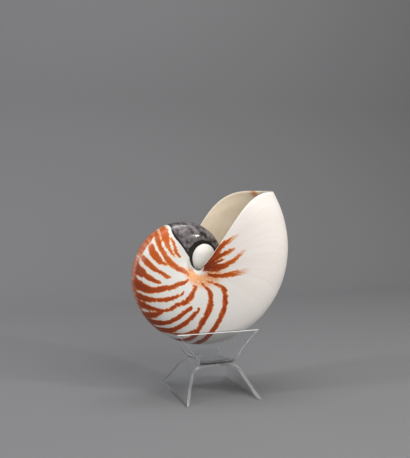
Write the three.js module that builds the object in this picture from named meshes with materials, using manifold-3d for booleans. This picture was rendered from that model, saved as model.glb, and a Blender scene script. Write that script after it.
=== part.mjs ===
// Nautilus shell standing on a clear acrylic stand. Millimetres, +Z up.
// The coil lies in the XZ plane with its axis along Y, and the mouth opens up and towards -X.
// The origin is on the table, under the middle of the object's box.

import * as THREE from "three";
import { ParametricGeometry } from "three/addons/geometries/ParametricGeometry.js";
import { mergeVertices } from "three/addons/utils/BufferGeometryUtils.js";
import Module from "manifold-3d";

const wasm = await Module();
wasm.setup();

// Where the coil axis stands over the table
const COIL_X = -18.6;
const COIL_Z = 116;

// Spiral of the outer edge, seen from the side
const LIP_RADIUS = 104; // coil axis to the outer edge, in line with the lip on the flanks
const LIP_ANGLE = 58; // degrees from +X up to that line
const GROWTH = 0.83; // natural logarithm of the growth in one turn, at the lip
const SLOWING = 0.275; // how far that growth slowed as the animal matured
const FIRST_TURN = -1.5; // turns from the lip, back to where the spiral starts inside
const JOIN_TURN = -0.86; // the whorls are made as two lengths that meet here
const FLARE = 0.015; // share by which the mouth's outer edge turns out at the lip
const FLARE_TURNS = 0.046; // how far back from the lip the flare fades
const FLARE_WIDTH = 0.16; // how far round the section it fades, as a share of the section's length

// Section of the whorl, as shares of the spiral's radius
const HALF_WIDTH = 0.372; // at the widest place of the flank
const WIDEST = 0.47; // radius of that place
const KEEL_POWER = 0.9; // under 1 squares the section towards the outer edge
const FLANK_POWER = 0.83; // under 1 fills the shoulder between outer edge and flank
const UMBILICUS = 0.032; // radius where the flank dips in at the coil axis
const UMBILICUS_DEPTH = 0.69; // half width there, as a share of HALF_WIDTH
const CORE = 0.012; // radius of the thin gap that the section leaves round the coil axis
const SHOULDER = 0.62; // share of the section's length from outer edge to widest place

// Lip: it stands back at the outer edge, where the animal's funnel came out
const SINUS = 17.1; // degrees
const SINUS_WIDTH = 0.393; // as a share of the section's length
const SINUS_POWER = 2.3; // over 2 keeps it narrow, with a flat bottom

// Body chamber
const WALL = 1.7; // thickness of the shell at the lip
const WALL_THINNING = 0.5; // share of it that is lost at the umbilicus
const SEPTUM_TURN = -0.36; // turns from the lip back to the last partition
const SEPTUM_BOWL = 0.06; // turns that the partition bulges back in its middle
const PAST_LIP = 0.06; // turns that the chamber's cutter runs out of the mouth

// Plug of callus in the coil axis, and pearly callus beside it on both flanks inside the mouth
const PLUG_RADII = [4.6, 10.3, 4.6];
const CALLUS_CENTRE = [3.9, 11, 9.5]; // X and Z from the coil axis, Y from the coil's plane
const CALLUS_RADII = [9, 6.5, 11.5];

// Stand: two hourglass blanks of acrylic sheet, one bent down as legs and one bent up as wings
const SHEET = 2.6; // thickness
const CEMENT = 0.2; // clear joint between the two sheets
const STAND_X = -1.2; // middle of the stand
const LEG_TOP = 28; // upper face of the sheet with the legs
const WAIST = 23.5; // width of a blank in its middle
const WAIST_POWER = 1.75; // how the sides of a blank curve from the waist to the ends
const LEGS = { halfLength: 49.5, endWidth: 82, halfFlat: 12.5, bendRadius: 12, bend: 64 };
const WINGS = { halfLength: 48, endWidth: 76.5, halfFlat: 14, bendRadius: 7, bend: 81 };

// Facets
const SECTION_STEPS = 13; // from the outer edge to the umbilicus
const RINGS_PER_TURN = 60;
const BOWL_RINGS = 4;
const WAIST_STEPS = 3;
const BEND_STEPS = 6;
const ARM_STEPS = 8;
const MERGE = 1e-3;
const SLIVER = 0.02; // facets thinner than this are closed up

const degrees = THREE.MathUtils.degToRad;

// Solids

function solidOf(geometry) {
  const bare = new THREE.BufferGeometry();
  bare.setAttribute("position", geometry.getAttribute("position"));
  bare.setIndex(geometry.getIndex());
  const merged = mergeVertices(bare, MERGE);
  const corners = merged.getIndex().array;
  const faces = [];
  for (let i = 0; i < corners.length; i += 3) {
    const [a, b, c] = corners.slice(i, i + 3);
    if (a !== b && b !== c && c !== a) faces.push(a, b, c);
  }
  const vertProperties = new Float32Array(merged.getAttribute("position").array);
  return new wasm.Manifold(new wasm.Mesh({ numProp: 3, vertProperties, triVerts: new Uint32Array(faces) }));
}

function meshOf(name, solid, material) {
  const { vertProperties, triVerts } = solid.getMesh();
  const geometry = new THREE.BufferGeometry();
  geometry.setAttribute("position", new THREE.BufferAttribute(vertProperties, 3));
  geometry.setIndex(new THREE.BufferAttribute(triVerts, 1));
  geometry.computeVertexNormals();
  const mesh = new THREE.Mesh(geometry, material);
  mesh.name = name;
  return mesh;
}

// A closed solid through rings of points, with each end drawn together at its middle.
function loft(rings) {
  const around = rings[0].length;
  const cap = (ring) => {
    const middle = new THREE.Vector3();
    ring.forEach((point) => middle.addScaledVector(point, 1 / around));
    return ring.map(() => middle);
  };
  const capped = [cap(rings[0]), ...rings, cap(rings.at(-1))];
  const last = capped.length - 1;
  const place = (u, v, target) => {
    target.copy(capped[Math.round(v * last)][Math.round(u * around) % around]);
  };
  return solidOf(new ParametricGeometry(place, around, last));
}

function steps(from, to, count) {
  return Array.from({ length: count + 1 }, (_, i) => from + ((to - from) * i) / count);
}

// Shell

function spiralRadius(turn) {
  return LIP_RADIUS * Math.exp(GROWTH * turn - SLOWING * turn * turn);
}

// Radius and half width of the section, both as shares, from the outer edge (0) to the umbilicus (1).
function sectionAt(share) {
  if (share < SHOULDER) {
    const a = ((share / SHOULDER) * Math.PI) / 2;
    return [
      WIDEST + (1 - WIDEST) * Math.cos(a) ** KEEL_POWER,
      HALF_WIDTH * Math.sin(a) ** FLANK_POWER,
    ];
  }
  const a = (((share - SHOULDER) / (1 - SHOULDER)) * Math.PI) / 2;
  return [
    WIDEST - (WIDEST - UMBILICUS) * Math.sin(a),
    HALF_WIDTH * (UMBILICUS_DEPTH + (1 - UMBILICUS_DEPTH) * Math.cos(a)),
  ];
}

// The same place moved in from the surface, by a depth given as a share of the radius.
function insetSectionAt(share, depth) {
  const reach = 0.01;
  const [radius, half] = sectionAt(share);
  const before = sectionAt(Math.max(share - reach, 0));
  const after = sectionAt(Math.min(share + reach, 1));
  const run = [after[0] - before[0], after[1] - before[1]];
  if (share < reach) return [radius - depth, half];
  const length = Math.hypot(...run);
  return [radius + (run[1] / length) * -depth, half + (run[0] / length) * depth];
}

// A point of the whorl. Growth lines lean back at the outer edge as the lip does.
function shellPoint(turn, share, side, [radius, half]) {
  const sinus = SINUS * Math.exp(-((share / SINUS_WIDTH) ** SINUS_POWER));
  const flare = FLARE * Math.exp(Math.min(turn, 0) / FLARE_TURNS - (share / FLARE_WIDTH) ** 2);
  const scale = spiralRadius(turn - sinus / 360) * (1 + flare);
  const angle = degrees(LIP_ANGLE + 360 * turn - sinus);
  return new THREE.Vector3(
    scale * radius * Math.cos(angle),
    scale * half * side,
    scale * radius * Math.sin(angle),
  );
}

// Ring of the filled whorl: one flank, over the outer edge, the other flank, and the core.
function whorlRing(turn) {
  const shares = steps(0, 1, SECTION_STEPS);
  const side = (sign) => [
    ...shares.map((share) => shellPoint(turn, share, sign, sectionAt(share))),
    shellPoint(turn, 1, sign, [CORE, sectionAt(1)[1]]),
  ];
  return [...side(-1).reverse(), ...side(1).slice(1)];
}

// Ring of the body chamber, drawn in towards its middle by the share that bowl gives.
function chamberRing(turn, bowl) {
  const wall = WALL / spiralRadius(turn);
  const middle = [WIDEST, 0];
  const shares = steps(0, 1, SECTION_STEPS);
  const side = (sign) =>
    shares.map((share) => {
      const [radius, half] = insetSectionAt(share, wall * (1 - WALL_THINNING * share ** 4));
      const drawn = [middle[0] + (radius - middle[0]) * bowl, middle[1] + (half - middle[1]) * bowl];
      return shellPoint(turn, share, sign, drawn);
    });
  return [...side(-1).reverse(), ...side(1).slice(1)];
}

function whorls(from, to) {
  const count = Math.ceil((to - from) * RINGS_PER_TURN);
  return loft(steps(from, to, count).map(whorlRing));
}

function bodyChamber() {
  const bowl = steps(0, Math.PI / 2, BOWL_RINGS)
    .slice(1, -1)
    .map((a) => chamberRing(SEPTUM_TURN - SEPTUM_BOWL * Math.cos(a), Math.sin(a)));
  const count = Math.ceil((PAST_LIP - SEPTUM_TURN) * RINGS_PER_TURN);
  const wall = steps(SEPTUM_TURN, PAST_LIP, count).map((turn) => chamberRing(turn, 1));
  return loft([...bowl, ...wall]);
}

function bulge(radii, centre) {
  const ball = new THREE.SphereGeometry(1, 20, 14);
  ball.scale(...radii);
  ball.translate(...centre);
  return solidOf(ball);
}

function callus(side) {
  const [x, y, z] = CALLUS_CENTRE;
  return bulge(CALLUS_RADII, [x, y * side, z]);
}

function shell() {
  const last = whorls(JOIN_TURN, 0).subtract(bodyChamber());
  const coil = last.add(whorls(FIRST_TURN, JOIN_TURN)).add(bulge(PLUG_RADII, [0, 0, 0]));
  const body = coil.add(callus(-1)).add(callus(1)).simplify(SLIVER);
  const pearl = new THREE.MeshStandardMaterial({ color: 0xf1ece6, roughness: 0.32, metalness: 0 });
  const mesh = meshOf("shell", body, pearl);
  mesh.position.set(COIL_X, 0, COIL_Z);
  return mesh;
}

// Stand

function blankHalfWidth(along, { halfLength, endWidth }) {
  return (WAIST + (endWidth - WAIST) * (along / halfLength) ** WAIST_POWER) / 2;
}

// Place and slope of the sheet's middle line, at a distance along it from the middle of the blank.
function bentLine(along, { halfFlat, bendRadius, bend }) {
  const turned = Math.min(Math.max((along - halfFlat) / bendRadius, 0), degrees(bend));
  const flat = Math.min(along, halfFlat);
  const straight = Math.max(along - halfFlat - bendRadius * degrees(bend), 0);
  return {
    out: flat + bendRadius * Math.sin(turned) + straight * Math.cos(turned),
    up: bendRadius * (1 - Math.cos(turned)) + straight * Math.sin(turned),
    slope: turned,
  };
}

// Four corners of the bent sheet at a place along it, from one end (negative) to the other.
function sheetRing(place, blank) {
  const along = Math.abs(place);
  const { out, up, slope } = bentLine(along, blank);
  const wide = blankHalfWidth(along, blank);
  const skin = SHEET / 2;
  const corner = (across, face) =>
    new THREE.Vector3(
      Math.sign(place) * (out - face * Math.sin(slope)),
      across * wide,
      skin + up + face * Math.cos(slope),
    );
  return [corner(-1, -skin), corner(1, -skin), corner(1, skin), corner(-1, skin)];
}

// One blank bent up at both ends, with its middle's underside at height 0.
function bentSheet(blank) {
  const bendEnd = blank.halfFlat + blank.bendRadius * degrees(blank.bend);
  const half = [
    ...steps(0, blank.halfFlat, WAIST_STEPS).slice(1),
    ...steps(blank.halfFlat, bendEnd, BEND_STEPS).slice(1),
    ...steps(bendEnd, blank.halfLength, ARM_STEPS).slice(1),
  ];
  const places = [...half.map((along) => -along).reverse(), 0, ...half];
  return loft(places.map((place) => sheetRing(place, blank)));
}

function stand() {
  const acrylic = new THREE.MeshStandardMaterial({
    color: 0xf4f8f9,
    roughness: 0.05,
    metalness: 0,
    transparent: true,
    opacity: 0.25,
  });
  const table = new THREE.BoxGeometry(400, 400, 100);
  table.translate(0, 0, -50);
  const legSheet = bentSheet(LEGS).rotate([180, 0, 0]).translate([0, 0, LEG_TOP]);
  const legs = meshOf("stand_legs", legSheet.subtract(solidOf(table)), acrylic);
  const cradle = meshOf("stand_cradle", bentSheet(WINGS), acrylic);
  cradle.rotation.z = Math.PI / 2;
  cradle.position.z = LEG_TOP + CEMENT;
  const group = new THREE.Group();
  group.add(legs, cradle);
  group.position.x = STAND_X;
  return group;
}

const object = new THREE.Group();
object.add(shell(), stand());

export default object;
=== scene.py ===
"""Nautilus shell on a clear acrylic stand: the looks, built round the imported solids.

Sizes are in millimetres and are turned to metres where a mesh is made. The coil lies in the XZ plane
with its axis along Y. A place on the shell is given by two numbers: its turn, which is 0 at the lip and
falls by 1 for each whorl back, and its share, from 0 at the outer edge to 1 at the umbilicus.
"""

import math

import bmesh
import bpy
import numpy as np
from mathutils import Matrix, Vector


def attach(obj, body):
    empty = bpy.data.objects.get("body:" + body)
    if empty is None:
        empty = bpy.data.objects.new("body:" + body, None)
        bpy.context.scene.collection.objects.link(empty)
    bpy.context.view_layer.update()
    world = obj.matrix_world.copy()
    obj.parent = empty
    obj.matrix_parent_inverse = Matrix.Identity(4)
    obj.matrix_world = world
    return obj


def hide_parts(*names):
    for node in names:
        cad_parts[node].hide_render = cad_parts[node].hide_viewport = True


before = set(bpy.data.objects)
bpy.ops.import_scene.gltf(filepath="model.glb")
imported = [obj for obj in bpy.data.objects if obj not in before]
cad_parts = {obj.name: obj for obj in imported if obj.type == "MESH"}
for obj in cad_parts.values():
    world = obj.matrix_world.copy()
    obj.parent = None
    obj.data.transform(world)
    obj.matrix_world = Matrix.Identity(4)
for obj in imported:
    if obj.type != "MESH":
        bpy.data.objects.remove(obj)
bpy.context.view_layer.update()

MM = 0.001

# Coil: the same spiral and section as the solids
COIL = Vector((-18.6, 0, 116))
LIP_RADIUS = 104
LIP_ANGLE = 58
GROWTH = 0.83
SLOWING = 0.275
FLARE = 0.015
FLARE_TURNS = 0.046
FLARE_WIDTH = 0.16
HALF_WIDTH = 0.372
WIDEST = 0.47
KEEL_POWER = 0.9
FLANK_POWER = 0.83
UMBILICUS = 0.032
UMBILICUS_DEPTH = 0.69
SHOULDER = 0.62
SECTION_LENGTH = 1.19  # outer edge to umbilicus, as a share of the spiral's radius
SINUS = 17.1
SINUS_WIDTH = 0.393
SINUS_POWER = 2.3

# Wall
FIRST_TURN = -1.42
TURN_STEPS = 300
ACROSS_STEPS = 108
WALL = 1.5
LIP_THINNING = 0.4  # the lip's edge is this share of the wall's thickness
LIP_TAPER_TURNS = 0.035

# Last partition, at the back of the body chamber
SEPTUM_TURN = -0.36
SEPTUM_BOWL = 0.06
SEPTUM_SHARE = 0.985  # its size as a share of the whorl's, so that its edge ends inside the wall
SEPTUM_RINGS = 14
SEPTUM_STEPS = 72
SEPTUM_WALL = 0.8
SAME_PLACE = 1e-5  # metres within which two vertices are one

# Callus
CALLUS_CENTRE = Vector((5.8, 10, 9.2))
CALLUS_RADII = (13.2, 6.9, 12.8)
PLUG_RADII = (5.0, 12.5, 5.0)
BULGE_STEPS = (48, 32)

# Stand: two hourglass blanks of sheet, one bent down as legs and one bent up as wings
SHEET = 2.6
CEMENT = 0.2
STAND_X = -1.2
LEG_TOP = 28
WAIST = 23.5
WAIST_POWER = 1.75
LEGS = {"half_length": 49.5, "end_width": 82, "half_flat": 12.5, "bend_radius": 12, "bend": 64}
WINGS = {"half_length": 48, "end_width": 76.5, "half_flat": 14, "bend_radius": 7, "bend": 81}
SHEET_STEPS = (96, 24)
EDGE_ROUNDING = 0.36
CUT_ANGLE = math.radians(50)
SMOOTH_ANGLE = math.radians(40)

# Camera, where the photograph was taken from
CAMERA_AZIMUTH = -18.8
CAMERA_ELEVATION = 4.3
CAMERA_DISTANCE = 657
CAMERA_RIGHT = 12.36  # how far the view's middle is from the coil axis
CAMERA_UP = 32.85
LENS = 57.4
SENSOR = 36
NEAREST_SEEN = 0.01  # in metres
AIM = Vector((0, 0, 0.1))  # what the lamps point at, in metres

# Studio floor and backdrop, in metres
FLOOR = 2.6
BACKDROP = 0.8
SWEEP = 0.35
SWEEP_STEPS = 24
FLOOR_GAP = 0.0005  # keeps the floor clear of the clear feet, whose edges would go black on it

# Stripes: strength from 0 (pale) to 1, then share, turn and half width in mm at the points of its middle
FLANK_STRIPES = [
    (0.45, [(0, -0.75, 2.5), (0.3, -0.76, 3.5), (0.5, -0.75, 1.3), (0.6, -0.735, 0.8)]),
    (0.6, [(0.4, -0.78, 0.5), (0.5, -0.78, 1), (0.65, -0.75, 0.8)]),
    (0.6, [(0, -0.73, 2), (0.4, -0.725, 2), (0.6, -0.695, 2), (0.75, -0.64, 1.5), (0.8, -0.57, 0.8)]),
    (0.6, [(0.25, -0.695, 3), (0.4, -0.69, 3.5), (0.55, -0.68, 1)]),
    (0.75, [(0.2, -0.655, 2), (0.35, -0.655, 2.3), (0.5, -0.645, 1.5), (0.6, -0.62, 1)]),
    (0.85, [(0, -0.61, 3.5), (0.1, -0.615, 4), (0.3, -0.62, 3), (0.5, -0.605, 1)]),
    (0.95, [(0, -0.58, 4.5), (0.1, -0.58, 5), (0.3, -0.58, 3.5), (0.5, -0.58, 2.3), (0.65, -0.565, 1.5),
            (0.75, -0.535, 1)]),
    (0.95, [(0, -0.545, 3.5), (0.3, -0.55, 2.2), (0.5, -0.54, 1.7), (0.65, -0.51, 0.7)]),
    (1, [(0, -0.525, 4.5), (0.25, -0.525, 2.3), (0.45, -0.505, 1.3), (0.55, -0.5, 1.3),
         (0.65, -0.465, 1.8), (0.75, -0.45, 1.2)]),
    (1, [(0, -0.495, 4), (0.2, -0.5, 2.5), (0.4, -0.51, 1)]),
    (1.2, [(0, -0.48, 4), (0.25, -0.475, 2.5), (0.5, -0.465, 1.8), (0.6, -0.445, 1.2)]),
    (1.2, [(0, -0.455, 4.3), (0.3, -0.445, 2.5), (0.5, -0.435, 2), (0.6, -0.415, 1.1)]),
    (1, [(0.2, -0.435, 0.8), (0.4, -0.4, 1.5)]),
    (1, [(0, -0.41, 3.3), (0.25, -0.395, 2.2), (0.5, -0.395, 2), (0.7, -0.35, 1.8), (0.75, -0.36, 1),
         (0.8, -0.39, 0.7)]),
    (0.95, [(0, -0.365, 3.2), (0.3, -0.365, 2.5), (0.5, -0.345, 2), (0.65, -0.295, 1.7),
            (0.7, -0.27, 1.5), (0.75, -0.285, 1.1), (0.8, -0.32, 0.7)]),
]
FAN_STREAKS = [
    (1.3, [(0.9, 0, 1.3), (0.75, -0.015, 1.9), (0.65, -0.035, 1)]),
    (1.3, [(0.95, -0.03, 1), (0.78, -0.035, 0.5)]),
    (1.3, [(0.95, -0.05, 1.3), (0.8, -0.055, 1.6), (0.7, -0.07, 1)]),
    (1.3, [(0.95, -0.09, 1.2), (0.78, -0.09, 0.5)]),
    (1.3, [(0.95, -0.11, 1.5), (0.8, -0.14, 2.2), (0.65, -0.095, 1)]),
    (1.3, [(0.93, -0.19, 0.9), (0.8, -0.175, 0.5)]),
    (1.3, [(0.85, -0.26, 1), (0.75, -0.205, 1.5), (0.65, -0.175, 1.9), (0.55, -0.155, 0.8)]),
    (1.1, [(0.72, -0.185, 1.2), (0.6, -0.155, 0.8)]),
]
STRIPE_STEPS = 4  # short lines that each stretch between two of those points is drawn with
FAN_FADE = (0.9, 0.58)  # shares between which the fan's streaks pale to nothing
FAN_WIDENING = 0.45  # mm that a streak gains on each side towards the umbilicus
KEEL_BAND = [
    (-0.8, 0.05), (-0.75, 0.1), (-0.7, 0.17), (-0.65, 0.13), (-0.55, 0.13), (-0.5, 0.05), (-0.43, 0)
]  # turn, and the share up to which the stripes run together there
KEEL_BAND_STRENGTH = 0.35
KEEL_WIDENING = 0.7  # mm that a stripe gains on each side as it nears the outer edge
KEEL_WIDENING_SHARES = (0.42, 0.2)
FAR_SIDE_SHIFT = 0.006  # turns by which the stripes wander on the far flank
FAR_SIDE_WAVES = (9, 23)  # how fast that changes with share and with turn
FAR_SIDE_START = 0.2  # share at which it is in full
BARE_CENTRE = 0.9  # share past which the film leaves the streaks alone

# Black film on the whorl in front of the mouth: share and turn of its front edge, and the turn it ends at
FILM_EDGE = [(0.0, -0.775), (0.33, -0.789), (0.5, -0.803), (0.62, -0.81), (1.0, -0.81)]
FILM_BACK = -1.15
FILM_AND_SHADE_RING = (12.6, 12.9)  # half sizes of the ring of film round the callus, in mm; its black band along the callus's edge is partly painted shade where the callus meets the whorl
FILM_RING_END = -0.5  # turn where that ring stops
FILM_WEAR_AND_SHADE = (0, 2.6)  # mm from its edge between which the film turns from black to grey; round the callus that black band is partly painted shade
WHITE_MARGIN = 2.6  # mm of bare white between film and stripes

# Brown stain inside the far lip: share and turn of its middle, and its size
STAIN = (0.2, -0.004)
STAIN_SIZE = (0.03, 0.008)
STAIN_STRENGTH = 0.9

# Orange bloom round the umbilicus: the shares and the turns over which it comes in and goes out
HAZE_SHARES = ((0.73, 0.8), (0.87, 0.91))
HAZE_TURNS = ((-0.72, -0.6), (-0.22, -0.12))


# Shell shape


def section(share):
    """Radius and half width of the whorl's section, as shares of the spiral's radius."""
    outer = np.clip(share / SHOULDER, 0, 1) * math.pi / 2
    inner = np.clip((share - SHOULDER) / (1 - SHOULDER), 0, 1) * math.pi / 2
    keel_side = share < SHOULDER
    radius = np.where(
        keel_side,
        WIDEST + (1 - WIDEST) * np.cos(outer) ** KEEL_POWER,
        WIDEST - (WIDEST - UMBILICUS) * np.sin(inner),
    )
    half = np.where(
        keel_side,
        HALF_WIDTH * np.sin(outer) ** FLANK_POWER,
        HALF_WIDTH * (UMBILICUS_DEPTH + (1 - UMBILICUS_DEPTH) * np.cos(inner)),
    )
    return radius, half


def sinus_turns(share):
    """How far the lip, and each growth line, stands back at the outer edge."""
    return SINUS / 360 * np.exp(-((share / SINUS_WIDTH) ** SINUS_POWER))


def spiral_radius(turn):
    return LIP_RADIUS * np.exp(GROWTH * turn - SLOWING * turn**2)


def shell_places(turn, across, drawn_in=1.0):
    """Points of the whorl, in metres. across is the share, below 0 on the near flank."""
    share = np.abs(across)
    radius, half = section(share)
    radius = WIDEST + (radius - WIDEST) * drawn_in
    half = half * drawn_in
    along = turn - sinus_turns(share)
    flare = FLARE * np.exp(np.minimum(turn, 0) / FLARE_TURNS - (share / FLARE_WIDTH) ** 2)
    scale = spiral_radius(along) * (1 + flare)
    angle = np.radians(LIP_ANGLE + 360 * along)
    places = np.stack(
        [scale * radius * np.cos(angle), scale * half * np.sign(across), scale * radius * np.sin(angle)],
        axis=1,
    )
    return (places + np.array(COIL)) * MM


def grid_bmesh(steps):
    """A flat grid, with the share of each vertex along its two sides, from 0 to 1."""
    bm = bmesh.new()
    bmesh.ops.create_grid(bm, x_segments=steps[0], y_segments=steps[1], size=0.5)
    shares = np.array([(v.co.x + 0.5, v.co.y + 0.5) for v in bm.verts])
    return bm, shares


def place_vertices(bm, places):
    for vertex, place in zip(bm.verts, places):
        vertex.co = place


def write_uv(bm, pairs):
    layer = bm.loops.layers.uv.new("places")
    bm.verts.index_update()
    for face in bm.faces:
        for loop in face.loops:
            loop[layer].uv = pairs[loop.vert.index]


def finish_piece(name, bm, node, materials):
    """Makes the bmesh a smooth object that rides with the solids and stands for one of them."""
    mesh = bpy.data.meshes.new(name)
    for face in bm.faces:
        face.smooth = True
    bm.to_mesh(mesh)
    bm.free()
    for material in materials:
        mesh.materials.append(material)
    piece = bpy.data.objects.new(name, mesh)
    bpy.context.scene.collection.objects.link(piece)
    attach(piece, "root")
    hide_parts(node)
    return piece


# Shell markings


def smooth_step(low, high, value):
    t = np.clip((value - low) / (high - low), 0, 1)
    return t * t * (3 - 2 * t)


def smooth_line(points):
    """A stripe's few points, with more between them on a smooth curve through them all."""
    knots = np.array([points[0], *points, points[-1]], dtype=float)
    k = np.linspace(0, 1, STRIPE_STEPS, endpoint=False)[:, None]
    line = []
    for before, start, end, after in zip(knots, knots[1:], knots[2:], knots[3:]):
        slope_in, slope_out = (end - before) / 2, (after - start) / 2
        gone = end - start
        curve = start + slope_in * k
        curve = curve + (3 * gone - 2 * slope_in - slope_out) * k**2
        line.extend(curve + (slope_in + slope_out - 2 * gone) * k**3)
    return line + [knots[-1]]


def stroke_reach(turn, share, middle):
    """How far each place is inside a stripe's edge, in mm."""
    along_mm = 2 * math.pi * section(share)[0] * spiral_radius(turn)
    across_mm = SECTION_LENGTH * spiral_radius(turn)
    best = np.full(turn.shape, -1e3)
    line = smooth_line(middle)
    for (s0, t0, half0), (s1, t1, half1) in zip(line, line[1:]):
        run = np.stack([(t1 - t0) * along_mm, (s1 - s0) * across_mm])
        gap = np.stack([(turn - t0) * along_mm, (share - s0) * across_mm])
        k = np.clip((run * gap).sum(0) / (run * run).sum(0), 0, 1)
        distance = np.hypot(*(gap - run * k))
        best = np.maximum(best, half0 + (half1 - half0) * k - distance)
    return best + KEEL_WIDENING * smooth_step(*KEEL_WIDENING_SHARES, share)


def film_fields(turn, across):
    """Depth inside the edge of the black film in mm, and how worn and grey it is, from 0 to 1; the black
    kept along the callus's edge is partly painted shade.
    """
    share = np.abs(across)
    mm_per_turn = 2 * math.pi * section(share)[0] * spiral_radius(turn)
    front = np.interp(share, *np.transpose(FILM_EDGE))
    sheet = np.minimum(front - turn, turn - FILM_BACK) * mm_per_turn
    place = shell_places(turn, across) / MM - np.array(COIL)
    ring_x = (place[:, 0] - CALLUS_CENTRE.x) / FILM_AND_SHADE_RING[0]
    ring_z = (place[:, 2] - CALLUS_CENTRE.z) / FILM_AND_SHADE_RING[1]
    ring = (1 - np.hypot(ring_x, ring_z)) * FILM_AND_SHADE_RING[0]
    ring = np.minimum(ring, (FILM_RING_END - turn) * mm_per_turn)
    return np.maximum(sheet, ring), smooth_step(*FILM_WEAR_AND_SHADE, np.minimum(sheet, -ring))


def stripe_fields(turn, across):
    """Depth inside the nearest stripe in mm, and that stripe's strength."""
    share = np.abs(across)
    wave = np.sin(FAR_SIDE_WAVES[0] * share + FAR_SIDE_WAVES[1] * turn)
    shift = FAR_SIDE_SHIFT * wave * smooth_step(0, FAR_SIDE_START, share)
    wander = np.where(across > 0, shift, 0)
    moved = turn + wander
    mm_per_share = SECTION_LENGTH * spiral_radius(turn)
    band_turns, band_shares = np.transpose(KEEL_BAND)
    band_end = np.interp(moved, band_turns, band_shares, left=-1, right=-1)
    depth = (band_end - share) * mm_per_share
    strength = np.full(turn.shape, KEEL_BAND_STRENGTH)
    fan_pale = smooth_step(FAN_FADE[1], FAN_FADE[0], share)
    groups = ((FLANK_STRIPES, 1.0, 0.0), (FAN_STREAKS, fan_pale, FAN_WIDENING * fan_pale))
    for strokes, pale, widening in groups:
        for full_strength, middle in strokes:
            reach = stroke_reach(moved, share, middle) + widening
            strength = np.where(reach > depth, full_strength * pale, strength)
            depth = np.maximum(depth, reach)
    clear = -film_fields(turn, across)[0] - WHITE_MARGIN
    return np.minimum(depth, np.where(share > BARE_CENTRE, depth, clear)), strength


def haze_field(turn, across):
    """Orange bloom round the umbilicus, from 0 to 1."""
    share = np.abs(across)
    ring = smooth_step(*HAZE_SHARES[0], share) * (1 - smooth_step(*HAZE_SHARES[1], share))
    arc = smooth_step(*HAZE_TURNS[0], turn) * (1 - smooth_step(*HAZE_TURNS[1], turn))
    return ring * arc


def stain_field(turn, across):
    """Brown stain inside the far lip, beside the tip of the mouth, from 0 to 1."""
    share_off = (across - STAIN[0]) / STAIN_SIZE[0]
    turn_off = (turn - STAIN[1]) / STAIN_SIZE[1]
    return STAIN_STRENGTH * np.exp(-(share_off**2) - turn_off**2)


def write_attribute(piece, name, values):
    attribute = piece.data.attributes.new(name, "FLOAT", "POINT")
    attribute.data.foreach_set("value", values.astype(np.float32))


# Materials


def linear(code):
    """A colour written as an sRGB hex value, as linear RGBA."""
    parts = [int(code[i : i + 2], 16) / 255 for i in (1, 3, 5)]
    return [c / 12.92 if c <= 0.04045 else ((c + 0.055) / 1.055) ** 2.4 for c in parts] + [1]


def add_node(tree, kind, inputs=None, **settings):
    """Adds a node. inputs holds a value, or another node's output, for each socket."""
    made = tree.nodes.new(kind)
    for name, value in settings.items():
        setattr(made, name, value)
    for socket, value in (inputs or {}).items():
        if isinstance(value, bpy.types.NodeSocket):
            tree.links.new(value, made.inputs[socket])
        else:
            made.inputs[socket].default_value = value
    return made


def new_material(name):
    material = bpy.data.materials.new(name)
    material.use_nodes = True
    tree = material.node_tree
    return material, tree, tree.nodes["Principled BSDF"]


def white_ground(tree, places, lines):
    """White of the shell, with broad bands of tone. Among the stripes it is cooler and greyer."""
    broad = add_node(tree, "ShaderNodeMapping", {"Vector": places, "Scale": (34, 2.2, 1)})
    bands = add_node(
        tree, "ShaderNodeTexNoise", {"Vector": broad.outputs[0], "Scale": 1.0, "Detail": 2.0}
    )
    tone = add_node(tree, "ShaderNodeMath", {0: lines, 1: bands.outputs[0]}, operation="MULTIPLY")
    white = add_node(
        tree,
        "ShaderNodeMix",
        {0: tone.outputs[0], 6: linear("#DCD5CF"), 7: linear("#F4F2F0")},
        data_type="RGBA",
    )
    place = add_node(tree, "ShaderNodeSeparateXYZ", {0: places})
    fresh = add_node(
        tree,
        "ShaderNodeMapRange",
        {"Value": place.outputs["X"], "From Min": -0.45 - FIRST_TURN, "From Max": -0.2 - FIRST_TURN},
    )
    ground = add_node(
        tree,
        "ShaderNodeMix",
        {0: fresh.outputs[0], 6: linear("#D3D3CF"), 7: white.outputs[2]},
        data_type="RGBA",
    )
    return ground.outputs[2]


def stripe_depth(tree, places, teeth):
    """Depth inside a stripe in mm, with a ragged edge: bends about 6 mm long, and fine teeth."""
    bends_map = add_node(tree, "ShaderNodeMapping", {"Vector": places, "Scale": (44, 22, 1)})
    bends = add_node(
        tree, "ShaderNodeTexNoise", {"Vector": bends_map.outputs[0], "Scale": 1.0, "Detail": 1.0}
    )
    bent = add_node(
        tree, "ShaderNodeMath", {0: bends.outputs[0], 1: 2.8, 2: -3.0}, operation="MULTIPLY_ADD"
    )
    wobble = add_node(
        tree, "ShaderNodeMath", {0: teeth, 1: 3.4, 2: bent.outputs[0]}, operation="MULTIPLY_ADD"
    )
    depth = add_node(tree, "ShaderNodeAttribute", attribute_name="stripe")
    ragged = add_node(
        tree, "ShaderNodeMath", {0: depth.outputs["Fac"], 1: wobble.outputs[0]}, operation="ADD"
    )
    return ragged.outputs[0]


def stripe_strength(tree, lines):
    """Strength of the stripe, streaked along the growth lines."""
    strength = add_node(tree, "ShaderNodeAttribute", attribute_name="strength")
    streaks = add_node(
        tree,
        "ShaderNodeMapRange",
        {"Value": lines, "From Min": 0.35, "From Max": 0.65, "To Min": 0.5, "To Max": 1.25},
    )
    streaked = add_node(
        tree, "ShaderNodeMath", {0: strength.outputs["Fac"], 1: streaks.outputs[0]}, operation="MULTIPLY"
    )
    return streaked.outputs[0]


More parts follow.
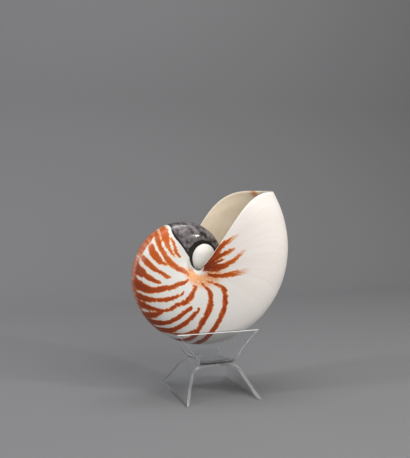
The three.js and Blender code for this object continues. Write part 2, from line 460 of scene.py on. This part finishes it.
def brown_flames(tree, ground, ragged, streaked):
    """Lays the stripes over the ground: orange at their edges and where they are pale, brown inside."""
    inside = add_node(
        tree,
        "ShaderNodeMapRange",
        {"Value": ragged, "From Min": -0.65, "From Max": 0.05},
        interpolation_type="SMOOTHSTEP",
    )
    shown = add_node(
        tree, "ShaderNodeMapRange", {"Value": streaked, "From Min": 0.02, "From Max": 0.32}
    )
    flame = add_node(
        tree, "ShaderNodeMath", {0: inside.outputs[0], 1: shown.outputs[0]}, operation="MULTIPLY"
    )
    core = add_node(tree, "ShaderNodeMapRange", {"Value": ragged, "From Min": -0.4, "From Max": 1.1})
    rich = add_node(tree, "ShaderNodeMath", {0: core.outputs[0], 1: streaked}, operation="MULTIPLY")
    brown = add_node(tree, "ShaderNodeValToRGB", {0: rich.outputs[0]})
    brown.color_ramp.elements[0].color = linear("#DB8A34")
    brown.color_ramp.elements[1].position = 0.85
    brown.color_ramp.elements[1].color = linear("#8E3202")
    middle = brown.color_ramp.elements.new(0.35)
    middle.color = linear("#B85409")
    striped = add_node(
        tree,
        "ShaderNodeMix",
        {0: flame.outputs[0], 6: ground, 7: brown.outputs[0]},
        data_type="RGBA",
    )
    return striped.outputs[2]


def orange_bloom(tree, ground, teeth):
    """Lays the mottled orange bloom round the umbilicus over the ground."""
    haze = add_node(tree, "ShaderNodeAttribute", attribute_name="haze")
    mottled = add_node(
        tree, "ShaderNodeMapRange", {"Value": teeth, "From Min": 0.1, "From Max": 0.6, "To Max": 0.95}
    )
    share = add_node(
        tree, "ShaderNodeMath", {0: haze.outputs["Fac"], 1: mottled.outputs[0]}, operation="MULTIPLY"
    )
    bloom = add_node(
        tree,
        "ShaderNodeMix",
        {0: share.outputs[0], 6: ground, 7: linear("#D8861C")},
        data_type="RGBA",
    )
    return bloom.outputs[2]


def film_share(tree, cloud):
    """How much of the black film covers each place, from 0 to 1, with an uneven edge."""
    depth = add_node(tree, "ShaderNodeAttribute", attribute_name="film")
    uneven = add_node(tree, "ShaderNodeMath", {0: cloud, 1: 1.6, 2: -0.8}, operation="MULTIPLY_ADD")
    ragged = add_node(
        tree, "ShaderNodeMath", {0: depth.outputs["Fac"], 1: uneven.outputs[0]}, operation="ADD"
    )
    film = add_node(
        tree,
        "ShaderNodeMapRange",
        {"Value": ragged.outputs[0], "From Min": -0.25, "From Max": 0.25},
        interpolation_type="SMOOTHSTEP",
    )
    return film.outputs[0]


def film_colour(tree, cloud):
    """Black of the film, clouded with grey where it is worn thin; its black band round the callus is partly
    painted shade.
    """
    worn = add_node(tree, "ShaderNodeAttribute", attribute_name="worn")
    rubbed = add_node(tree, "ShaderNodeMath", {0: cloud, 1: worn.outputs["Fac"]}, operation="MULTIPLY")
    soot = add_node(tree, "ShaderNodeValToRGB", {0: rubbed.outputs[0]})
    soot.color_ramp.elements[0].position = 0.34
    soot.color_ramp.elements[0].color = linear("#1B1819")
    soot.color_ramp.elements[1].position = 0.68
    soot.color_ramp.elements[1].color = linear("#827C7D")
    return soot.outputs[0]


def shell_porcelain():
    """Outer shell layer: chalky white porcelain with a dull polish, fine growth lines and brown flames."""
    material, tree, skin = new_material("shell_porcelain")
    places = add_node(tree, "ShaderNodeUVMap", uv_map="places").outputs["UV"]

    # Growth lines about 2.5 mm apart at mid flank
    fine = add_node(tree, "ShaderNodeMapping", {"Vector": places, "Scale": (190, 3, 1)})
    lines = add_node(
        tree, "ShaderNodeTexNoise", {"Vector": fine.outputs[0], "Scale": 1.0, "Detail": 3.0}
    ).outputs[0]

    # Teeth about 1 mm apart that follow the growth lines
    teeth_map = add_node(tree, "ShaderNodeMapping", {"Vector": places, "Scale": (60, 110, 1)})
    teeth = add_node(
        tree, "ShaderNodeTexNoise", {"Vector": teeth_map.outputs[0], "Scale": 1.0, "Detail": 4.0}
    ).outputs[0]

    # Clouds about 5 mm across, as if the film were brushed on
    coords = add_node(tree, "ShaderNodeTexCoord")
    cloud = add_node(
        tree, "ShaderNodeTexNoise", {"Vector": coords.outputs["Object"], "Scale": 190.0, "Detail": 5.0}
    ).outputs[0]

    ground = orange_bloom(tree, white_ground(tree, places, lines), teeth)
    striped = brown_flames(tree, ground, stripe_depth(tree, places, teeth), stripe_strength(tree, lines))
    film = film_share(tree, cloud)
    coloured = add_node(
        tree,
        "ShaderNodeMix",
        {0: film, 6: striped, 7: film_colour(tree, cloud)},
        data_type="RGBA",
    )
    polish = add_node(tree, "ShaderNodeMapRange", {"Value": film, "To Min": 0.38, "To Max": 0.16})
    relief = add_node(
        tree, "ShaderNodeBump", {"Strength": 0.25, "Distance": 0.3 * MM, "Height": lines}
    )
    tree.links.new(coloured.outputs[2], skin.inputs["Base Color"])
    tree.links.new(polish.outputs[0], skin.inputs["Roughness"])
    tree.links.new(relief.outputs[0], skin.inputs["Normal"])
    skin.inputs["IOR"].default_value = 1.55
    return material


def nacre(name, pale, deep, cloud_mm):
    """Mother of pearl: smooth and lustrous, with clouds of tone and a trace of colour in its gloss."""
    material, tree, skin = new_material(name)
    coords = add_node(tree, "ShaderNodeTexCoord")
    cloud = add_node(
        tree,
        "ShaderNodeTexNoise",
        {"Vector": coords.outputs["Object"], "Scale": 1 / (cloud_mm * MM), "Detail": 3.0},
    )
    tone = add_node(
        tree,
        "ShaderNodeMix",
        {0: cloud.outputs[0], 6: linear(deep), 7: linear(pale)},
        data_type="RGBA",
    )
    stain = add_node(tree, "ShaderNodeAttribute", attribute_name="stain")
    stained = add_node(
        tree,
        "ShaderNodeMix",
        {0: stain.outputs["Fac"], 6: tone.outputs[2], 7: linear("#B8642C")},
        data_type="RGBA",
    )
    relief = add_node(
        tree, "ShaderNodeBump", {"Strength": 0.15, "Distance": 0.3 * MM, "Height": cloud.outputs[0]}
    )
    tree.links.new(stained.outputs[2], skin.inputs["Base Color"])
    tree.links.new(relief.outputs[0], skin.inputs["Normal"])
    skin.inputs["Roughness"].default_value = 0.2
    skin.inputs["IOR"].default_value = 1.6
    skin.inputs["Coat Weight"].default_value = 0.5
    skin.inputs["Coat Roughness"].default_value = 0.12
    skin.inputs["Thin Film Thickness"].default_value = 420
    skin.inputs["Thin Film IOR"].default_value = 1.45
    return material


def acrylic_edge():
    """Sawn edge of the sheet, flame polished: clear, with a trace of saw marks that makes it grey.

    The marks are about 1.4 mm apart, coarser than real ones, so that they show.
    """
    material, tree, skin = new_material("sawn_acrylic_edge")
    coords = add_node(tree, "ShaderNodeTexCoord")
    saw = add_node(
        tree, "ShaderNodeTexNoise", {"Vector": coords.outputs["Object"], "Scale": 700.0, "Detail": 2.0}
    )
    polished = add_node(tree, "ShaderNodeMapRange", {"Value": saw.outputs[0], "To Min": 0.1, "To Max": 0.35})
    tree.links.new(polished.outputs[0], skin.inputs["Roughness"])
    skin.inputs["Base Color"].default_value = linear("#FFFFFF")
    skin.inputs["Transmission Weight"].default_value = 0.84
    skin.inputs["IOR"].default_value = 1.49
    return material


def arris_painted_highlight():
    """Arris of the sheet's sawn edge: a narrow milky white line that catches the light, a painted highlight
    for the bright lines along the sheet's edges.
    """
    material, tree, skin = new_material("painted_highlight_on_arris")
    coords = add_node(tree, "ShaderNodeTexCoord")
    arris_noise = add_node(
        tree, "ShaderNodeTexNoise", {"Vector": coords.outputs["Object"], "Scale": 700.0, "Detail": 2.0}
    )
    arris_roughness = add_node(tree, "ShaderNodeMapRange", {"Value": arris_noise.outputs[0], "To Min": 0.2, "To Max": 0.5})
    tree.links.new(arris_roughness.outputs[0], skin.inputs["Roughness"])
    skin.inputs["Base Color"].default_value = linear("#FFFFFF")
    skin.inputs["Transmission Weight"].default_value = 0.25
    skin.inputs["IOR"].default_value = 1.49
    return material


def acrylic():
    """Cast acrylic sheet: water clear, with rubbed patches about 8 mm across that dull it a little."""
    material, tree, skin = new_material("clear_acrylic")
    coords = add_node(tree, "ShaderNodeTexCoord")
    rub = add_node(
        tree, "ShaderNodeTexNoise", {"Vector": coords.outputs["Object"], "Scale": 120.0, "Detail": 4.0}
    )
    worn = add_node(tree, "ShaderNodeMapRange", {"Value": rub.outputs[0], "To Min": 0.0, "To Max": 0.05})
    tree.links.new(worn.outputs[0], skin.inputs["Roughness"])
    skin.inputs["Base Color"].default_value = linear("#FBFDFD")
    skin.inputs["Transmission Weight"].default_value = 1.0
    skin.inputs["IOR"].default_value = 1.49
    return material


# Pieces


def wall_weights(turn):
    """Share of the wall's thickness, which falls off at the lip."""
    taper = smooth_step(0, LIP_TAPER_TURNS, -turn)
    return LIP_THINNING + (1 - LIP_THINNING) * taper


def shell_wall(outer, inner, edge):
    bm, shares = grid_bmesh((TURN_STEPS, ACROSS_STEPS))
    turn = FIRST_TURN * (1 - shares[:, 0])
    across = 1 - 2 * shares[:, 1]
    place_vertices(bm, shell_places(turn, across))
    write_uv(bm, np.stack([turn - FIRST_TURN, shares[:, 1]], axis=1))
    piece = finish_piece("shell_wall", bm, "shell", [outer, inner, edge])
    depth, strength = stripe_fields(turn, across)
    write_attribute(piece, "stripe", depth)
    write_attribute(piece, "strength", strength)
    # film and worn keep a black band round the callus, partly painted shade where the callus meets the whorl
    film, worn = film_fields(turn, across)
    write_attribute(piece, "film", film)
    write_attribute(piece, "worn", worn)
    write_attribute(piece, "haze", haze_field(turn, across))
    write_attribute(piece, "stain", stain_field(turn, across))
    thickness = piece.vertex_groups.new(name="thickness")
    for index, weight in enumerate(wall_weights(turn)):
        thickness.add([index], float(weight), "REPLACE")
    wall = piece.modifiers.new("wall", "SOLIDIFY")
    wall.thickness = WALL * MM
    wall.offset = -1
    wall.vertex_group = "thickness"
    wall.material_offset = 1
    wall.material_offset_rim = 2
    return piece


def septum(pearl):
    """The last partition: a bowl across the whorl, with its hollow towards the mouth."""
    bm, shares = grid_bmesh((SEPTUM_RINGS, SEPTUM_STEPS))
    lean = shares[:, 0] * math.pi / 2
    across = 2 * shares[:, 1] - 1
    turn = SEPTUM_TURN - SEPTUM_BOWL * np.cos(lean)
    place_vertices(bm, shell_places(turn, across, SEPTUM_SHARE * np.sin(lean)))
    bmesh.ops.remove_doubles(bm, verts=bm.verts, dist=SAME_PLACE)
    bmesh.ops.recalc_face_normals(bm, faces=bm.faces)
    piece = finish_piece("septum", bm, "shell", [pearl])
    thick = piece.modifiers.new("wall", "SOLIDIFY")
    thick.thickness = SEPTUM_WALL * MM
    thick.offset = 0
    return piece


def bulge(name, centre, radii, material):
    """A smooth swelling of callus."""
    bm = bmesh.new()
    bmesh.ops.create_uvsphere(bm, u_segments=BULGE_STEPS[0], v_segments=BULGE_STEPS[1], radius=1)
    bmesh.ops.scale(bm, vec=Vector(radii) * MM, verts=bm.verts)
    bmesh.ops.translate(bm, vec=(COIL + centre) * MM, verts=bm.verts)
    return finish_piece(name, bm, "shell", [material])


def bent_places(flat, blank, up):
    """Bends a flat slab, 1 by 1 by 1 about the origin, into the blank: its ends along X go up or down."""
    place = 2 * flat[:, 0] * blank["half_length"]
    skin = flat[:, 2] * SHEET
    along = np.abs(place)
    bend = math.radians(blank["bend"])
    radius = blank["bend_radius"]
    turned = np.clip((along - blank["half_flat"]) / radius, 0, bend)
    straight = np.maximum(along - blank["half_flat"] - radius * bend, 0)
    out = np.minimum(along, blank["half_flat"]) + radius * np.sin(turned) + straight * np.cos(turned)
    rise = radius * (1 - np.cos(turned)) + straight * np.sin(turned)
    out = out - skin * np.sin(turned)
    rise = rise + skin * np.cos(turned)
    width = WAIST + (blank["end_width"] - WAIST) * (along / blank["half_length"]) ** WAIST_POWER
    return np.stack([np.sign(place) * out, flat[:, 1] * width, up * rise], axis=1)


def flat_slab():
    """A closed slab, 1 by 1 by 1 about the origin, with a grid of faces on its two sides."""
    bm = bmesh.new()
    bmesh.ops.create_grid(bm, x_segments=SHEET_STEPS[0], y_segments=SHEET_STEPS[1], size=0.5)
    bmesh.ops.translate(bm, vec=(0, 0, -0.5), verts=bm.verts)
    raised = bmesh.ops.extrude_face_region(bm, geom=bm.faces[:], use_keep_orig=True)["geom"]
    bmesh.ops.translate(bm, vec=(0, 0, 1), verts=[g for g in raised if isinstance(g, bmesh.types.BMVert)])
    return bm


def bent_sheet(name, node, blank, up, height, quarter_turn, materials):
    """One blank of sheet, bent and set at a height, with its feet cut level where it meets the table."""
    bm = flat_slab()
    flat = np.array([v.co for v in bm.verts])
    place_vertices(bm, bent_places(flat, blank, up) * MM)
    bmesh.ops.rotate(bm, cent=(0, 0, 0), matrix=Matrix.Rotation(quarter_turn, 3, "Z"), verts=bm.verts)
    bmesh.ops.translate(bm, vec=Vector((STAND_X, 0, height)) * MM, verts=bm.verts)
    geometry = bm.verts[:] + bm.edges[:] + bm.faces[:]
    cut = bmesh.ops.bisect_plane(
        bm, geom=geometry, plane_co=(0, 0, 0), plane_no=(0, 0, -1), clear_outer=True
    )
    open_edges = [e for e in cut["geom_cut"] if isinstance(e, bmesh.types.BMEdge)]
    if open_edges:
        bmesh.ops.holes_fill(bm, edges=open_edges)
    bmesh.ops.recalc_face_normals(bm, faces=bm.faces)
    mark_cut_edges(bm)
    piece = finish_piece(name, bm, node, materials)
    piece.data.set_sharp_from_angle(angle=SMOOTH_ANGLE)
    rounding = piece.modifiers.new("arris_highlight_bevel", "BEVEL")
    rounding.width = EDGE_ROUNDING * MM
    rounding.segments = 1
    # the bevel's arris faces take the milky white painted highlight
    rounding.material = 2
    rounding.limit_method = "ANGLE"
    rounding.angle_limit = CUT_ANGLE
    return piece


def mark_cut_edges(bm):
    """Gives the sheet's narrow sides, where it was sawn out, the second material."""
    for face in bm.faces:
        sharp = [e.calc_face_angle(0) > CUT_ANGLE for e in face.edges]
        if len(sharp) > 4 or any(a and b for a, b in zip(sharp, sharp[2:])):
            face.material_index = 1


# Studio


def stage_floor():
    """Pale floor that sweeps up into a plain backdrop."""
    bm = bmesh.new()
    bmesh.ops.create_grid(bm, x_segments=1, y_segments=1, size=FLOOR / 2)
    bmesh.ops.translate(bm, vec=(0, BACKDROP - FLOOR / 2, -FLOOR_GAP), verts=bm.verts)
    back = [e for e in bm.edges if all(v.co.y > BACKDROP - MM for v in e.verts)]
    raised = bmesh.ops.extrude_edge_only(bm, edges=back)["geom"]
    top = [g for g in raised if isinstance(g, bmesh.types.BMVert)]
    bmesh.ops.translate(bm, vec=(0, 0, FLOOR / 2), verts=top)
    bmesh.ops.bevel(
        bm, geom=back, offset=SWEEP, segments=SWEEP_STEPS, profile=0.5, affect="EDGES", material=-1
    )
    bmesh.ops.recalc_face_normals(bm, faces=bm.faces)
    mesh = bpy.data.meshes.new("floor")
    for face in bm.faces:
        face.smooth = True
    bm.to_mesh(mesh)
    bm.free()
    material, tree, paper = new_material("grey_paper")
    paper.inputs["Base Color"].default_value = linear("#747476")
    paper.inputs["Roughness"].default_value = 0.9
    mesh.materials.append(material)
    floor = bpy.data.objects.new("floor", mesh)
    bpy.context.scene.collection.objects.link(floor)


def area_light(name, place, size, power, colour="#FFFFFF", aim=AIM):
    light = bpy.data.lights.new(name, "AREA")
    light.shape = "RECTANGLE"
    light.size, light.size_y = size
    light.energy = power
    light.color = linear(colour)[:3]
    lamp = bpy.data.objects.new(name, light)
    lamp.location = place
    lamp.rotation_euler = (aim - place).to_track_quat("-Z", "Y").to_euler()
    bpy.context.scene.collection.objects.link(lamp)
    return lamp


def lamp_place(azimuth, elevation, distance):
    """A place round the object. Azimuth 0 is in front, and it grows towards +X."""
    turn, rise = math.radians(azimuth), math.radians(elevation)
    reach = distance * math.cos(rise)
    return AIM + Vector((reach * math.sin(turn), -reach * math.cos(turn), distance * math.sin(rise)))


def studio_lights():
    area_light("key", lamp_place(16, 40, 1.1), (0.7, 0.6), 6.9, "#FFFAF4").visible_glossy = False
    area_light("glint", lamp_place(43, 24, 1.1), (0.05, 0.05), 3.4, "#FFFAF4")
    area_light("front", lamp_place(-12, 14, 1.3), (0.9, 0.7), 3, "#FAFBFF").visible_glossy = False
    area_light("strip", lamp_place(-86, 36, 0.9), (0.04, 0.6), 2.4, "#F6F9FF")
    area_light("rim", lamp_place(-140, 8, 0.9), (0.05, 0.5), 1, "#F6F9FF")
    area_light("top", lamp_place(0, 88, 1.3), (1.0, 0.8), 5)
    area_light("backdrop", Vector((0, 0.1, 1.1)), (1.0, 0.3), 3, aim=Vector((0, 0.75, 0.25)))
    world = bpy.data.worlds.new("studio")
    world.use_nodes = True
    world.node_tree.nodes["Background"].inputs["Color"].default_value = linear("#C6C6C6")
    world.node_tree.nodes["Background"].inputs["Strength"].default_value = 0.55
    bpy.context.scene.world = world
    bpy.context.scene.view_settings.view_transform = "Standard"


def camera():
    turn, rise = math.radians(CAMERA_AZIMUTH), math.radians(CAMERA_ELEVATION)
    right = Vector((math.cos(turn), math.sin(turn), 0))
    back = Vector((math.sin(turn) * math.cos(rise), -math.cos(turn) * math.cos(rise), math.sin(rise)))
    up = back.cross(right)
    data = bpy.data.cameras.new("camera")
    data.lens = LENS
    data.sensor_width = SENSOR
    data.clip_start = NEAREST_SEEN
    eye = bpy.data.objects.new("camera", data)
    eye.location = (COIL + CAMERA_RIGHT * right + CAMERA_UP * up + CAMERA_DISTANCE * back) * MM
    eye.rotation_euler = Matrix((right, up, back)).transposed().to_euler()
    bpy.context.scene.collection.objects.link(eye)
    bpy.context.scene.camera = eye


camera()
studio_lights()
stage_floor()

chamber_pearl = nacre("chamber_nacre", "#E4D9C8", "#CEBEA3", 14)
callus_pearl = nacre("callus_nacre", "#FFFCF6", "#DBDEDF", 7)
lip_white = nacre("lip_edge", "#F6F1EA", "#ECE4DA", 14)
shell_wall(shell_porcelain(), chamber_pearl, lip_white)
septum(chamber_pearl)
for side, hand in (("near", -1), ("far", 1)):
    centre = Vector((CALLUS_CENTRE.x, hand * CALLUS_CENTRE.y, CALLUS_CENTRE.z))
    bulge(f"callus_{side}", centre, CALLUS_RADII, callus_pearl)
bulge("umbilical_plug", Vector((0, 0, 0)), PLUG_RADII, callus_pearl)

sheet_finishes = [acrylic(), acrylic_edge(), arris_painted_highlight()]
bent_sheet("legs_sheet", "stand_legs", LEGS, -1, LEG_TOP - SHEET / 2, 0, sheet_finishes)
wing_height = LEG_TOP + CEMENT + SHEET / 2
bent_sheet("cradle_sheet", "stand_cradle", WINGS, 1, wing_height, math.pi / 2, sheet_finishes)
